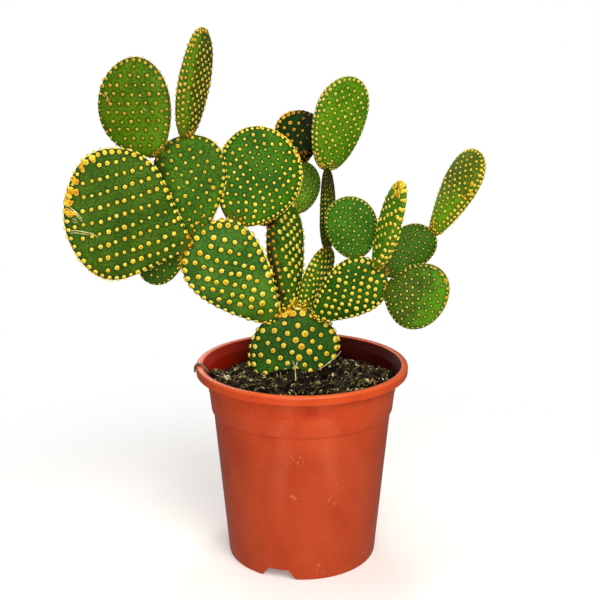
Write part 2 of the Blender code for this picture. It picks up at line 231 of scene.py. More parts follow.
def addSpike(way, width, start, end):
    # a three-sided spike along a direction
    bpy.ops.mesh.primitive_cone_add(
        vertices=3, radius1=width, radius2=0, depth=end - start, location=way * 0.5 * (start + end),
        rotation=way.to_track_quat("Z", "Y").to_euler())


# The camera, as the photograph was taken, and the light of a plain pale studio.
view = dict(place=(0, -0.770, 0.408), downward=14.3, lens=60.16, middle=302, frameWidth=600)
lamps = [
    dict(name="key_softbox", place=(0.50, -1.00, 1.10), size=0.95, power=17.5, warmth="#fff8ea"),
    dict(name="front_fill", place=(-0.20, -1.50, 0.55), size=0.9, power=12.0, warmth="#fffaf2"),
    dict(name="top_strip", place=(-0.15, 0.12, 1.20), size=1.0, depth=0.16, power=4.5, warmth="#fffaf2")]
# two narrow glowing cards on the floor before the pot, which give the plastic its upright sheen
lamps += [dict(name="sheen_card_" + side, place=(x, -0.30, 0.001), aim=(x, -0.30, 1), size=0.045,
               depth=0.30, power=0.2, warmth="#ffb68c")
          for side, x in (("left", -0.087), ("right", 0.116))]
lamps += [dict(name="back_fill", place=(-0.40, 1.30, 0.80), size=0.9, power=5.0, warmth="#fffaf2")]


def addStudio():
    camera = newPiece("camera", bpy.ops.object.camera_add, location=view["place"],
                      rotation=(radians(90 - view["downward"]), 0, 0))
    camera.data.lens = view["lens"]
    camera.data.sensor_width = 36
    camera.data.shift_x = (view["frameWidth"] / 2 - view["middle"]) / view["frameWidth"]
    bpy.context.scene.camera = camera
    for lamp in lamps:
        aim = Vector(lamp.get("aim", (0, 0, 0.2))) - Vector(lamp["place"])
        light = newPiece(lamp["name"], bpy.ops.object.light_add, type="AREA", location=lamp["place"],
                         rotation=aim.to_track_quat("-Z", "Y").to_euler())
        light.data.shape = "RECTANGLE" if "depth" in lamp else "DISK"
        light.data.size = lamp["size"]
        light.data.size_y = lamp.get("depth", lamp["size"])
        light.visible_camera = False
        light.data.energy = lamp["power"]
        light.data.color = colour(lamp["warmth"])[:3]
    world = bpy.data.worlds.new("pale_studio")
    world.use_nodes = True
    bpy.context.scene.world = world
    tree = world.node_tree
    add = partial(addNode, tree)
    seen = add("LightPath", out="Is Camera Ray")
    soft = add("Background", {"Color": "#fff9f0", "Strength": 0.19})
    white = add("Background", {"Color": "#ffffff", "Strength": 1.0})
    both = add("MixShader", {0: seen, 1: soft, 2: white})
    fill(tree, tree.nodes["World Output"].inputs["Surface"], both)
    bpy.context.scene.view_settings.view_transform = "Standard"
    floor = newPiece("studio_floor", bpy.ops.mesh.primitive_circle_add, vertices=96, radius=1.6,
                     fill_type="NGON", location=(0, 0, -0.0002))
    bpy.ops.object.transform_apply()
    # matte white board whose far part fades into the white surround
    paper, add, place = newMaterial(
        "matte_white_board", Roughness=0.85, Base_Color="#f9fbff", Emission_Color="#ffffff",
        Emission_Strength=0.12)
    reach = add("VectorMath", {0: place}, out="Value", operation="LENGTH")
    fade = add("MapRange", {"Value": reach, "From": (0.13, 0.46), "To": (1, 0)},
               interpolation_type="SMOOTHSTEP")
    plugIn(paper, Alpha=fade)
    floor.data.materials.append(paper)
    floor.visible_glossy = False


addStudio()
print("camera, light and floor set")

# The pads: each is an egg-shaped lens on the rim of the pad below it, as the solids have it.
padForm = dict(roundness=0.82, belly=0.7, topThinner=0.25, nipReach=0.64, wave=0.7 * mm,
               skinStep=1.2 * mm, clearHeight=152.5 * mm, hollow=0.45 * mm, halo=1.6 * mm,
               rimBand=4.5 * mm, scar=0.42 * mm, seed=41)
plainPad = dict(taper=1.0, sweep=0.0, sink=3.0, off=0.0, foot=None, nip=0.0, rimStep=0.84,
                rows=None, ring=1.5, slot="green", stunted=None, strip=("cork", "left", 0, 0), crowds=(),
                scars=())


def pad(name, on, stand, size, tufts, look, palette, tint, **more):
    # In millimetres and degrees. stand: how far round the parent's rim, from 0 at its foot to 1 at its
    # tip and negative on the left, then lean, pitch and turn. size: length, width, thickness and how
    # egg-shaped. tufts: the distance between areoles and half the width of one. tint: how much more red,
    # green and blue the rind gives back than its look. nip: the share of the right half that is missing
    # at the foot. rows: the slant of straight rows and their distance in gaps. ring: the distance of the
    # joint's areoles in tufts. stunted: where areoles stayed small, as x, z, spread and size. strip:
    # whether an edge is browned, near black partly from age and partly as painted shade where other pads
    # shadow it, or still fresh, which one, its share of the half width and how strong the colour is.
    # crowds: where areoles have run together, as x, z, spread and count.
    # scars: lines of pale cork.
    p = SimpleNamespace(name=name + "_pad", on=on, at=stand[0], egg=size[3], look=look,
                        palette=palette, tint=tint, **{**plainPad, **more})
    p.lean, p.pitch, p.turn = (radians(angle) for angle in stand[1:])
    p.length, p.width, p.thick, p.gap, p.tuft, p.sweep, p.sink, p.off = (
        value * mm for value in (*size[:3], *tufts, p.sweep, p.sink, p.off))
    return p


pads = [
    pad("base", None, (0, -3, 0, 8), (84, 74, 24, 0.06), (8.9, 2.6), "old", "honey", (0.85, 0.65, 0.35),
        foot=(-0.003, 0, 0.1206), nip=0.86,
        crowds=[(-12, 81, 2.2, 6), (-3, 83, 2.2, 6), (8, 82.5, 2.2, 6), (17, 79, 2, 4)]),
    pad("left_low", "base", (-0.86, -42, 17, -5), (101, 64, 17, 0.49), (8.5, 2.4), "old", "lemon",
        (1.75, 1.1, 0.9), sweep=9.2, sink=5, off=3, strip=("fresh", "foot", 0.25, 0.25)),
    pad("far_left", "left_low", (-0.915, -68.5, 21, 4), (102, 94, 11, 0.42), (6.7, 1.78), "olive",
        "lemon", (1.25, 1.05, 0.7), taper=3.5, sweep=15.5, sink=5, off=4, rows=(-49, 1.27),
        crowds=[(6, 99, 2.4, 11), (-2, 100, 2.4, 11), (0, 96, 1.8, 7), (-10, 99, 2.6, 12),
        (-16, 97, 2.2, 9), (17, 97, 2, 6), (27, 92, 1.8, 4)],
        scars=[[(-11.7, 98.5), (-12.4, 92), (-14.5, 86.5)], [(-13.4, 98), (-14, 91.5), (-16, 86)],
        [(-27, 92.5), (-24, 88), (-22.9, 85), (-20, 77), (-20.4, 72)], [(-28.2, 91.5), (-25.2, 87),
        (-24.2, 84), (-21.2, 77)], [(-18, 93), (-19.5, 91), (-18.5, 89), (-17, 91), (-18, 93)]]),
    pad("hidden_left", "left_low", (-0.83, -125, -24, 0), (49, 26, 10, 0.3), (6.5, 1.1), "young",
        "ochre", (1.3, 0.85, 0.85), taper=1.5, sink=4, off=-3, slot="shaded"),
    pad("left_mid", "left_low", (1.04, -2.5, -1, 0), (76.5, 54.5, 10, 0.33), (7.4, 1.52), "olive",
        "ochre", (1.25, 1.25, 0.45), sweep=2.4, off=-2.4, rimStep=0.62, ring=2.4,
        stunted=(-20, 40, 12, 0.7), strip=("cork", "left", 0.28, 0.7)),
    pad("upper_left", "left_mid", (-0.735, -30.5, -5, -15), (72, 61, 11.5, 0.2), (6.6, 1.36), "fresh",
        "bronze", (1.4, 0.9, 0.4), taper=1.5, sweep=11, rows=(38, 1.04),
        strip=("fresh", "foot", 0.35, 0.6),
        crowds=[(-18, 59, 1.5, 5), (-16.5, 55, 1.8, 6), (-15.5, 51, 1.4, 3)],
        scars=[[(-21, 61), (-18.5, 58)], [(-18, 55), (-15.8, 54)], [(8.5, 35), (10.5, 32)]]),
    pad("left_upright", "left_mid", (1.02, 11, 0, 70), (80, 46, 11.5, 0.11), (5.7, 1.42), "olive",
        "bronze", (1.65, 1.05, 1.1), sweep=-1.3, strip=("fresh", "left", 0.42, 0.75),
        crowds=[(-5, 78, 2.2, 8), (4, 78, 2.2, 8)]),
    pad("mid_top", "left_low", (0.75, 30, -21, 5), (79.5, 66, 11, 0.18), (6.4, 1.42), "rich", "lemon",
        (1.45, 0.93, 0.02), taper=1.25, sweep=-3.3, sink=5, off=-5, rimStep=0.5, ring=2.6,
        stunted=(-1, 54, 17, 0.62),
        crowds=[(-13, 76, 2, 5), (-5, 79, 2, 6), (3, 79, 2, 7), (12, 77, 2.2, 9), (18, 73, 2.2, 9),
        (22, 69, 2, 6), (27, 62, 1.6, 3)]),
    pad("centre", "base", (1.03, -2.3, -16, 59), (92, 50, 15, 0.36), (7.2, 2.05), "rich", "lemon",
        (2, 1, 0.85), sweep=3.2, sink=5, off=-5, strip=("cork", "left", 0.1, 0.9)),
    pad("centre_back", "base", (0.93, 28.5, -24, 57), (58, 38, 12, 0.25), (5.2, 1.45), "olive", "lemon",
        (2.4, 2.1, 0.8), sweep=-2.8, sink=4, off=-4, strip=("cork", "tip", 0.14, 0.7)),
    pad("right_low", "base", (0.83, 49, 14, 0), (70.5, 45.5, 15, 0.45), (6.1, 1.8), "rich", "lemon",
        (1.3, 0.9, 0.55), sink=5, off=3, stunted=(-10, 52, 11, 0.6)),
    pad("mid_back", "centre", (0.82, 3, -6, 10), (44, 38, 11, 0.15), (4.3, 0.72), "pale", "lemon",
        (1.4, 1.35, 0.6), slot="young"),
    pad("dark_back", "mid_back", (0.98, -5, -12, -8), (43, 38, 12, 0.25), (6.6, 1.6), "shaded", "amber",
        (0.42, 0.62, 0.12), rimStep=0.6, slot="shaded", strip=("cork", "right", 0.7, 0.7)),
    pad("tail_back", "centre", (-0.7, -34, -18, -10), (46, 36, 11, 0.25), (7, 1.3), "shaded", "amber",
        (1, 1, 1), slot="shaded", strip=("cork", "left", 0.8, 0.6)),
    pad("stalk", "centre_back", (1.1, 0, -8, 80), (66, 34, 11, 0.2), (4.8, 0.85), "shaded", "bronze",
        (2.3, 1.6, 0.6), rimStep=0.75, slot="shaded", strip=("cork", "tip", 0.3, 0.8)),
    pad("top_right", "stalk", (1, 14, 10, 33), (76.5, 49, 12, 0.2), (6, 1.28), "lime", "straw",
        (1.05, 0.95, 0.65), taper=0.8, rimStep=0.7,
        crowds=[(-9, 6, 1.8, 7), (-13, 10, 1.6, 6), (-16, 14, 1.4, 4)],
        scars=[[(-16.5, 9), (-14.5, 6), (-12, 4.5)]]),
    pad("round_right", "right_low", (-0.76, -9.4, -4, -5), (49, 40.5, 10.5, 0.1), (5.5, 0.85), "young",
        "straw", (1.15, 1.1, 0.55), sweep=-1, off=-3.5, rimStep=0.45, ring=3.2, slot="young"),
    pad("right_upright", "right_low", (-0.955, 12.5, 19, -74), (77, 33, 11, 0.21), (6.6, 1.55), "olive",
        "lemon", (3.1, 2.8, 1.5), sweep=4.4, off=2, rimStep=1.15,
        crowds=[(-3, 75, 2.8, 18), (3, 73.5, 2.6, 15), (5, 69, 2.2, 10), (-6, 71, 2.2, 10),
        (0, 68, 2.4, 8)]),
    pad("right_mid", "right_low", (0.95, 48, -19, -10), (54, 34, 10, 0.25), (5.4, 0.8), "olive",
        "bronze", (0.97, 1.03, 0.2), sweep=3, sink=4, off=-3, rimStep=0.5, slot="young"),
    pad("right_round_low", "right_low", (0.81, 105, 19, 0), (50.5, 53.5, 11, 0.17), (5.6, 0.95),
        "dusty", "straw", (1, 0.85, 0.6), taper=1.5, sweep=-6.5, sink=4, off=3, rimStep=0.6,
        slot="young", strip=("fresh", "tip", 0.34, 1),
        crowds=[(-24, 34, 1.6, 6), (-21, 40, 1.6, 8), (-16, 45, 1.8, 8), (-10, 48.5, 1.8, 9),
        (-3, 50, 1.8, 8), (4, 50, 1.6, 5)]),
    pad("far_right", "right_mid", (0.96, 30, -8, -64), (75, 43, 12, 0.48), (5.8, 1.36), "dusty",
        "ochre", (1.7, 1.1, 0.65), sweep=-5, rimStep=0.65, strip=("fresh", "foot", 0.5, 0.8),
        crowds=[(18, 48, 1.8, 7), (20, 42, 1.8, 7), (17, 36, 1.6, 6)]),
]


def padFrame(lean, pitch, turn):
    # the axis from foot to tip, the sideways direction and the direction that the face looks in
    axis = Vector((sin(lean) * cos(pitch), -sin(pitch), cos(lean) * cos(pitch)))
    front = Vector((0, -1, 0))
    normal = (front - axis * front.dot(axis)).normalized()
    side = axis.cross(normal)
    return (np.array(axis), np.array(side * cos(turn) - normal * sin(turn)),
            np.array(normal * cos(turn) + side * sin(turn)))


def giveOutline(p):
    # half widths over the distance from the foot, as a taut string over the egg has them
    angles = np.pi * np.arange(121) / 120
    power = 1 + (p.taper - 1) * 0.5 * (1 + np.cos(angles))
    egg = np.maximum(np.sin(angles), 1e-9) ** power * (1 - p.egg * np.cos(angles))
    kept = []
    for z, w in zip(p.length * (0.5 - 0.5 * np.cos(angles)), 0.5 * p.width * egg / egg.max()):
        while len(kept) > 1:
            (z0, w0), (z1, w1) = kept[-2:]
            if (z1 - z0) * (w - w0) < (w1 - w0) * (z - z0):
                break
            kept.pop()
        kept.append((z, w))
    p.heights, p.halves = np.array(kept).T


def halfWidth(p, z):
    return np.maximum(np.interp(z, p.heights, p.halves), 1e-6)


def halfThickness(p, z):
    along = np.clip(1 - 2 * z / p.length, -1, 1)
    full = 0.5 * p.thick * (1 - along * along) ** (padForm["belly"] / 2)
    return np.maximum(full * (1 + padForm["topThinner"] * along), 1e-6)


def wayAlong(x, y):
    return np.concatenate(([0], np.cumsum(np.hypot(np.diff(x), np.diff(y)))))


def section(p, z, steps=360):
    # the outline across the pad at one height, and the way round it
    turn = np.linspace(0, 2 * np.pi, steps + 1)
    across, through = (np.sign(one) * np.abs(one) ** padForm["roundness"]
                       for one in (np.cos(turn), np.sin(turn)))
    x, y = across * halfWidth(p, z), through * halfThickness(p, z)
    return x, y, wayAlong(x, y)


def girth(p, z):
    return section(p, z, 120)[2][-1]


def sectionPoints(p, heights, shares):
    # surface points at these heights, each a share of the way round its own section
    found = np.zeros((len(heights), 3))
    found[:, 2] = heights
    for z in np.unique(heights):
        mine = np.nonzero(heights == z)[0]
        x, y, way = section(p, z)
        found[mine, 0] = np.interp(shares[mine] * way[-1], way, x)
        found[mine, 1] = np.interp(shares[mine] * way[-1], way, y)
    return found


def fullness(p, local, margin=0.0):
    # under 1 inside the pad grown by the margin
    z = np.clip(local[:, 2], 0.004 * p.length, 0.996 * p.length)
    power = 2 / padForm["roundness"]
    full = (np.abs(local[:, 0]) / (halfWidth(p, z) + margin)) ** power + (
        np.abs(local[:, 1]) / (halfThickness(p, z) + margin)) ** power
    outside = (local[:, 2] <= -margin) | (local[:, 2] >= p.length + margin)
    return np.where(outside, 9.0, full)


def rightShare(p, along):
    # what is left of the right half, where the foot is nipped in
    return 1 - p.nip * np.maximum(0, 1 - along / padForm["nipReach"]) ** 1.2


def toWorld(p, local):
    # the pad curves sideways towards its tip, and its face waves a little
    across, through, up = local.T
    along = np.clip(up / p.length, 0, 1)
    wave = 0.6 * np.sin(5.1 * along + p.mood)
    wave = wave + 0.5 * np.sin(5.3 * (across / p.width) + 2.7 * along + 2 * p.mood)
    x = np.where(across > 0, across * rightShare(p, along), across) + p.sweep * along * along
    y = through + smooth(along / 0.3) * padForm["wave"] * wave
    return p.origin + x[:, None] * p.side + y[:, None] * p.normal + up[:, None] * p.axis


def toLocal(p, points):
    offset = points - p.origin
    z = offset @ p.axis
    along = np.clip(z / p.length, 0, 1)
    x = offset @ p.side - p.sweep * along * along
    return np.stack([np.where(x > 0, x / rightShare(p, along), x), offset @ p.normal, z], 1)


def standPads():
    placed = {}
    for number, p in enumerate(pads):
        giveOutline(p)
        p.mood = 1.7 * number
        p.axis, p.side, p.normal = padFrame(p.lean, p.pitch, p.turn)
        p.origin = np.array(p.foot)
        q = p.parent = placed.get(p.on)
        if q:
            z = q.length * (0.5 - 0.5 * cos(p.at * pi))
            x = copysign(halfWidth(q, z), sin(p.at * pi)) + q.sweep * (z / q.length) ** 2
            p.origin = q.origin + x * q.side + p.off * q.normal + z * q.axis - p.sink * p.axis
        placed[p.name.removesuffix("_pad")] = p


standPads()


def rimLine(p, step):
    # evenly spaced points round the rim, from one side of the foot over the tip to the other
    z = p.length * np.concatenate((np.arange(10, 201), np.arange(199, 9, -1))) / 200
    x = halfWidth(p, z) * np.concatenate((np.ones(191), -np.ones(190)))
    way = wayAlong(x, z)
    at = np.linspace(0, way[-1], max(int(round(way[-1] / step)), 2) + 1)
    return np.stack([np.interp(at, way, x), np.zeros(len(at)), np.interp(at, way, z)], 1)


def latticePoints(p):
    # crossing spirals round the pad, each point with the same share of its surface
    z = p.length * (0.5 - 0.5 * np.cos(np.pi * (np.arange(60) + 0.5) / 60))
    girths = np.array([girth(p, one) for one in z])
    area = np.concatenate(([0], np.cumsum(np.diff(z) * 0.5 * (girths[1:] + girths[:-1]))))
    count = int(round(area[-1] / (0.87 * p.gap ** 2)))
    number = np.arange(count)
    heights = np.interp(area[-1] * (number + 0.5) / count, area, z)
    return sectionPoints(p, heights, (number * 0.5 * (sqrt(5) - 1)) % 1)


def isClear(p, local, margin):
    # off the soil line and away from every other pad
    places = toWorld(p, local)
    clear = places[:, 2] > padForm["clearHeight"]
    for q in pads:
        if q is not p:
            clear &= fullness(q, toLocal(q, places), margin) > 1
    return clear


def jointPoints(p, rounds=14, places=30):
    # a crowded ring of areoles where the foot leaves the parent
    if not p.parent:
        return np.empty((0, 3))
    number = np.arange(rounds * places)
    heights = p.length * np.repeat(np.linspace(0.03, 0.24, rounds), places)
    local = sectionPoints(p, heights, number % places / places + 0.013 * (number // places))
    inParent = toLocal(p.parent, toWorld(p, local))
    near = (fullness(p.parent, inParent, 0.2 * mm) > 1) & (
        fullness(p.parent, inParent, 1.5 * mm + 2.8 * p.tuft) < 1)
    kept = []
    for point in local[near][random.Random(len(number)).sample(range(near.sum()), near.sum())]:
        if all(np.linalg.norm(point - other) > p.ring * p.tuft for other in kept):
            kept.append(point)
    return np.array(kept).reshape(-1, 3)


def facePoint(p, x, z, side=1):
    # a point on the face that looks at the viewer, or on the far one, a little inside the rim at most
    z = min(max(z, 1 * mm), p.length - 0.4 * mm)
    half = float(halfWidth(p, z))
    x = min(max(x, -0.985 * half), 0.985 * half)
    power = 2 / padForm["roundness"]
    y = float(halfThickness(p, z)) * (1 - abs(x / half) ** power) ** (1 / power)
    return np.array([x, side * y, z])


def straightRows(p, reach=12):
    # staggered rows on both faces, which lean by the angle that the pad asks for
    turn, found = radians(p.rows[0]), []
    for row in range(-reach, reach + 1):
        for place in range(-reach, reach + 1):
            u, v = (place + 0.5 * (row % 2)) * p.gap, row * p.rows[1] * p.gap
            x = u * cos(turn) - v * sin(turn)
            z = u * sin(turn) + v * cos(turn) + 0.5 * p.length
            if 0 < z < p.length and abs(x) < halfWidth(p, z):
                found += [facePoint(p, x, z, side) for side in (1, -1)]
    return np.array(found)


def rimRows(p):
    # areoles crowd along the rim: a row on its crest and one just inside it on either face
    line = rimLine(p, p.gap * (0.45 + 0.5 * p.rimStep))
    away = line - np.array([0, 0, 0.5 * p.length])
    inset = (0.8 * p.tuft + 0.7 * mm) / np.linalg.norm(away, axis=1)
    rows = [facePoint(p, x, z, side) for side in (1, -1) for x, _, z in line - away * inset[:, None]]
    return np.concatenate((rimLine(p, p.gap * p.rimStep), rows))


def crowdPoints(p, chance):
    found = [facePoint(p, *((c + chance.gauss(0, 0.5) * spread) * mm for c in (x, z)))
             for x, z, spread, count in p.crowds for _ in range(count)]
    return np.array(found).reshape(-1, 3)


def stripMask(p, local, rough=0):
    # how strongly each point belongs to the pad's strip: a fresh one, or a browned one whose dark colour
    # is partly painted shade
    trait, side, share, strength = p.strip
    across, along = local[:, 0] / halfWidth(p, local[:, 2]), local[:, 2] / p.length
    out = dict(left=-across, right=across, foot=1 - along, tip=along)[side]
    return trait, strength * smooth((out + 0.3 * rough - 1 + share) / 0.4 + 0.5)


def areoles(p, chance):
    # places on the pad, sizes, and how far each one's colour is shifted towards ripe, which in a browned
    # strip is partly painted shade
    rim = rimRows(p)
    face = straightRows(p) if p.rows else latticePoints(p)
    gaps, _ = nearest(face, rim)
    face = face[gaps > 0.66 * p.gap]
    stray = [[chance.gauss(0, 0.05) * p.gap, 0, chance.gauss(0, 0.05) * p.gap] for _ in face]
    face = face + np.array(stray)
    local = np.concatenate((rim, face))
    sizes = np.array([chance.uniform(0.8, 1.12) for _ in local])
    sizes *= 0.82 + 0.18 * smooth((local[:, 2] / p.length - 0.05) / 0.25)
    shift = Vector((0, 0, p.mood))
    sizes *= np.array([1 + 0.3 * noise.noise(Vector(point) * 60 + shift) for point in local])
    if p.stunted:
        x, z, spread, size = p.stunted
        away = np.hypot(local[:, 0] - x * mm, local[:, 2] - z * mm)
        sizes *= 1 - (1 - size) * smooth(1.3 - away / (spread * mm))
    keep = (local[:, 2] > 0.1 * p.length) & isClear(p, local, 0.35 * p.tuft)
    local, sizes = local[keep], sizes[keep]
    # tufts in the browned strip are smaller and shifted towards orange-brown, which is partly painted
    # shade
    trait, browned_and_shaded = stripMask(p, local)
    browned_and_shaded = browned_and_shaded * (trait == "cork")
    ripe = np.array([chance.uniform(-0.16, 0.1) for _ in sizes]) - 0.8 * browned_and_shaded
    sizes *= 1 - 0.35 * browned_and_shaded
    extra = np.concatenate((jointPoints(p), crowdPoints(p, chance)))
    if len(extra):
        extra = extra[isClear(p, extra, 0.1 * mm)]
        local = np.concatenate((local, extra))
        sizes = np.concatenate((sizes, np.array([chance.uniform(0.5, 1.05) for _ in extra])))
        ripe = np.concatenate((ripe, np.array([chance.uniform(-0.5, -0.04) for _ in extra])))
    return local, sizes, ripe


# The skins: dark and light clouds, the edge, the ring round each areole, which is painted shade, and the
# foot, which is darker partly by painted shade.
looks = {
    "old": ("#1c5218", "#3a7a2a", "#2f6a24", "#0c2c06", "#1a3208"),
    "rich": ("#18500a", "#327418", "#245a10", "#0a3004", "#5a4a1c"),
    "olive": ("#22480a", "#3c6418", "#2a4a0c", "#142e04", "#5a4a1c"),
    "fresh": ("#2c600a", "#4c8410", "#36660c", "#183e04", "#4c5a14"),
    "young": ("#22540a", "#3a701a", "#44701a", "#1a4606", "#5a4a1c"),
    "pale": ("#42702a", "#62903e", "#5a8a34", "#2e5a1c", "#5a4a1c"),
    "dusty": ("#2e500e", "#4c721e", "#5a801e", "#203a06", "#5a4a1c"),
    "lime": ("#3c7206", "#5e940c", "#629010", "#2a5808", "#7a8a2c"),
    "shaded": ("#102a06", "#28520f", "#1c3a08", "#081804", "#2a1c08")}


def skinMaterial(p):
    # cactus rind, waxy and finely velvety: cloudy greens, a fine pale grain, and painted shade as a dark
    # ring in each hollow
    dark, light, edge, ring, foot = looks[p.look]
    skin, add, place = newMaterial("cactus_rind_" + p.name, Roughness=0.6, IOR=1.42,
                                   Specular_IOR_Level=0.14)
    cloud = add("TexNoise", {"Vector": place, "Scale": 60.0, "Detail": 3.0})
    cloudy = add("MapRange", {"Value": cloud, "From": (0.36, 0.64), "To": (0.2, 0.8)})
    body = add("Mix", {0: cloudy, 6: dark, 7: light}, out=2, data_type="RGBA")
    # velvet grain about 1 mm across, which is as fine as the picture can show
    grain = add("TexNoise", {"Vector": place, "Scale": 850.0, "Detail": 3.0, "Roughness": 0.6})
    grainy = add("MapRange", {"Value": grain, "From": (0.36, 0.64), "To": (0.5, 1.5)})
    body = add("VectorMath", {0: body, "Scale": grainy}, operation="SCALE")
    # the rim and the fresh strip are the rind's own colours; the browned strip is near black, partly
    # corky browning and partly painted shade; the foot is partly painted shade; the ring round each
    # areole is painted shade
    for trait, code in (("rim", edge), ("fresh", "#4c900e"), ("foot", foot), ("cork", "#120e05"),
                        ("halo", ring)):
        mask = add("Attribute", out="Fac", attribute_name=trait)
        body = add("Mix", {0: mask, 6: body, 7: code}, out=2, data_type="RGBA")
    tinted = add("VectorMath", {0: body, 1: p.tint}, operation="MULTIPLY")
    bump = add("Bump", {"Height": grain, "Strength": 0.35, "Distance": 0.0004})
    plugIn(skin, Base_Color=tinted, Normal=bump)
    return skin


def shapeSkin(p, local, sizes):
    # a ball pressed into the pad's shape, with a hollow under every areole
    step = padForm["skinStep"]
    rings = int(round(1.62 * 0.5 * (p.length + p.width) / step / 2) * 2)
    segments = int(round(girth(p, 0.5 * p.length) / step / 4) * 4)
    skin = newPiece(p.name + "_skin", bpy.ops.mesh.primitive_uv_sphere_add, segments=segments,
                    ring_count=rings, radius=1)
    ball = getVectors(skin)
    heights = np.round((ball[:, 2] + 1) / 2, 6) * p.length
    shares = np.round(np.arctan2(-ball[:, 1], ball[:, 0]) / (2 * np.pi) * segments) % segments / segments
    surface = sectionPoints(p, heights, shares)
    places, centres = toWorld(p, surface), toWorld(p, local)
    setPoints(skin, places)
    normals = getVectors(skin, "normal")
    gaps, which = nearest(places, centres)
    radii = p.tuft * sizes[which]
    hollow = padForm["hollow"] * smooth(1 - gaps / (radii + 1.3 * mm))
    rough = np.array([noise.noise(Vector(place) * 240) for place in places])
    setPoints(skin, places + normals * (0.1 * mm * rough - hollow)[:, None])
    rimGaps, _ = nearest(surface, rimLine(p, step))
    # painted shade: a dark ring round each areole, where its hollow lies in shade
    setTrait(skin, "halo", smooth(1 - (gaps - 0.9 * radii) / padForm["halo"]) * 0.9)
    setTrait(skin, "rim", 0.7 * smooth(1 - rimGaps / padForm["rimBand"]))
    # the foot is darker, partly its own browner colour and partly painted shade where it meets the
    # parent pad or the soil
    start = 0 if p.parent else 0.36 * p.length
    setTrait(skin, "foot", 0.75 * smooth(1 - (heights - start) / (0.12 * p.length)))
    # the strip's mask: the fresh one, or the browned one that is partly painted shade
    setTrait(skin, *stripMask(p, surface, rough))
    skin.data.shade_smooth()
    _, atVertex = nearest(centres, places)
    return skin, centres, normals[atVertex]


def fibreMaterial(name, stops):
    # dry plant fibre: dull, streaked, paler where it has bleached
    return grainyMaterial(name, stops, Roughness=0.8)


def layStrands(name, lines, widths, slotName, *finish):
    # round strands along lines of points, as one curve turned into a mesh
    curve = bpy.data.curves.new(name, "CURVE")
    curve.dimensions = "3D"
    curve.bevel_depth = 1.0
    curve.bevel_resolution = 0
    curve.use_fill_caps = True
    for line, width in zip(lines, widths):
        spline = curve.splines.new("POLY")
        spline.points.add(len(line) - 1)
        for number, (point, place) in enumerate(zip(spline.points, line)):
            ends = min(number, len(line) - 1 - number) / (0.25 * len(line))
            point.co = (*place, 1)
            point.radius = width * min(1, 0.45 + 0.55 * ends)
    made = bpy.data.objects.new(name, curve)
    bpy.context.collection.objects.link(made)
    selectOnly(made)
    bpy.ops.object.convert(target="MESH")
    made = bpy.context.active_object
    made.data.shade_smooth()
    dress(made, fibreMaterial(*finish), slotName)


# The bristle tufts: a felted cushion with a darker heart and short barbed bristles round it.
tuftForm = dict(models=4, sides=8, bristles=12, height=0.74, dimple=0.7, bristleWidth=0.085, reach=1.24,
                smallTuft=1.0 * mm, smallModels=2, smallSides=6, smallBristles=7)
palettes = {
    "lemon": ("#c6820a", "#e4c61e", "#ecde40", "#f2ea8e"),
    "ochre": ("#a8780c", "#ccae1a", "#dcce34", "#e8e074"),
    "honey": ("#be780a", "#dcb61a", "#e8d23c", "#eee488"),
    "bronze": ("#84520a", "#bc961a", "#ccb232", "#dac868"),
    "amber": ("#7c4206", "#c88a0e", "#deb020", "#ecca54"),
    "straw": ("#b28c18", "#c8b22c", "#d4c852", "#e4dc8c")}


def modelTuft(chance, sides, bristles):
    tuft = newPiece("tuft_model", bpy.ops.mesh.primitive_uv_sphere_add, segments=sides, ring_count=4,
                    radius=1)
    startEdit()
    bpy.ops.mesh.bisect(plane_co=(0, 0, 0), plane_no=(0, 0, 1), use_fill=True, clear_inner=True)
    bpy.ops.mesh.select_all(action="SELECT")
    bpy.ops.transform.resize(value=(1, 1, tuftForm["height"]), center_override=(0, 0, 0))
    for number in range(bristles):
        around = 2 * pi * (number + chance.uniform(-0.3, 0.3)) / bristles * 3
        rise = radians(chance.choice((12, 28, 50)) + chance.uniform(-8, 8))
        way = Vector((cos(around) * cos(rise), sin(around) * cos(rise),
                      sin(rise) * 0.85)).normalized()
        addSpike(way, tuftForm["bristleWidth"], 0.45, tuftForm["reach"] * chance.uniform(0.85, 1.1))
    endEdit(bpy.ops.mesh.quads_convert_to_tris)
    shape = readShape(tuft)
    points = shape["points"]
    out = np.hypot(points[:, 0], points[:, 1])
    far = np.sqrt(out ** 2 + (points[:, 2] / tuftForm["height"]) ** 2)
    shape["shade"] = np.where(far > 1.06, 0.95, np.interp(out, (0, 0.7, 1), (0, 0.5, 0.82)))
    points[(out < 0.02) & (points[:, 2] > 0), 2] *= tuftForm["dimple"]
    return shape


def tuftMaterial(palette):
    # glochids, glassy hairs felted about 0.3 mm apart: pale at the tips, orange in the tuft's heart
    return grainyMaterial(
        "glochid_bristles_" + palette, list(zip((0.05, 0.24, 0.5, 0.88), palettes[palette])),
        ("shade", "ripe"), 2600.0, 2.0, lift=(0.84, 1.12), bump=(0.5, 0.0003), Roughness=0.7, IOR=1.5,
        Specular_IOR_Level=0.3)


def tuftBases(normals, radii, chance):
    # rows of each tuft's own frame, scaled to its size and turned at random
    bases = []
    for normal, radius in zip(normals, radii):
        z = Vector(normal)
        x = z.orthogonal().normalized()
        turn = chance.uniform(0, 2 * pi)
        across = x * cos(turn) + z.cross(x) * sin(turn)
        bases.append(np.array([across * chance.uniform(0.86, 1.12), z.cross(across),
                               z * chance.uniform(0.8, 1.2)]) * radius)
    return bases


def surfaceAt(p, x, z):
    return toWorld(p, facePoint(p, x * mm, z * mm)[None, :])[0] + 0.1 * mm * p.normal


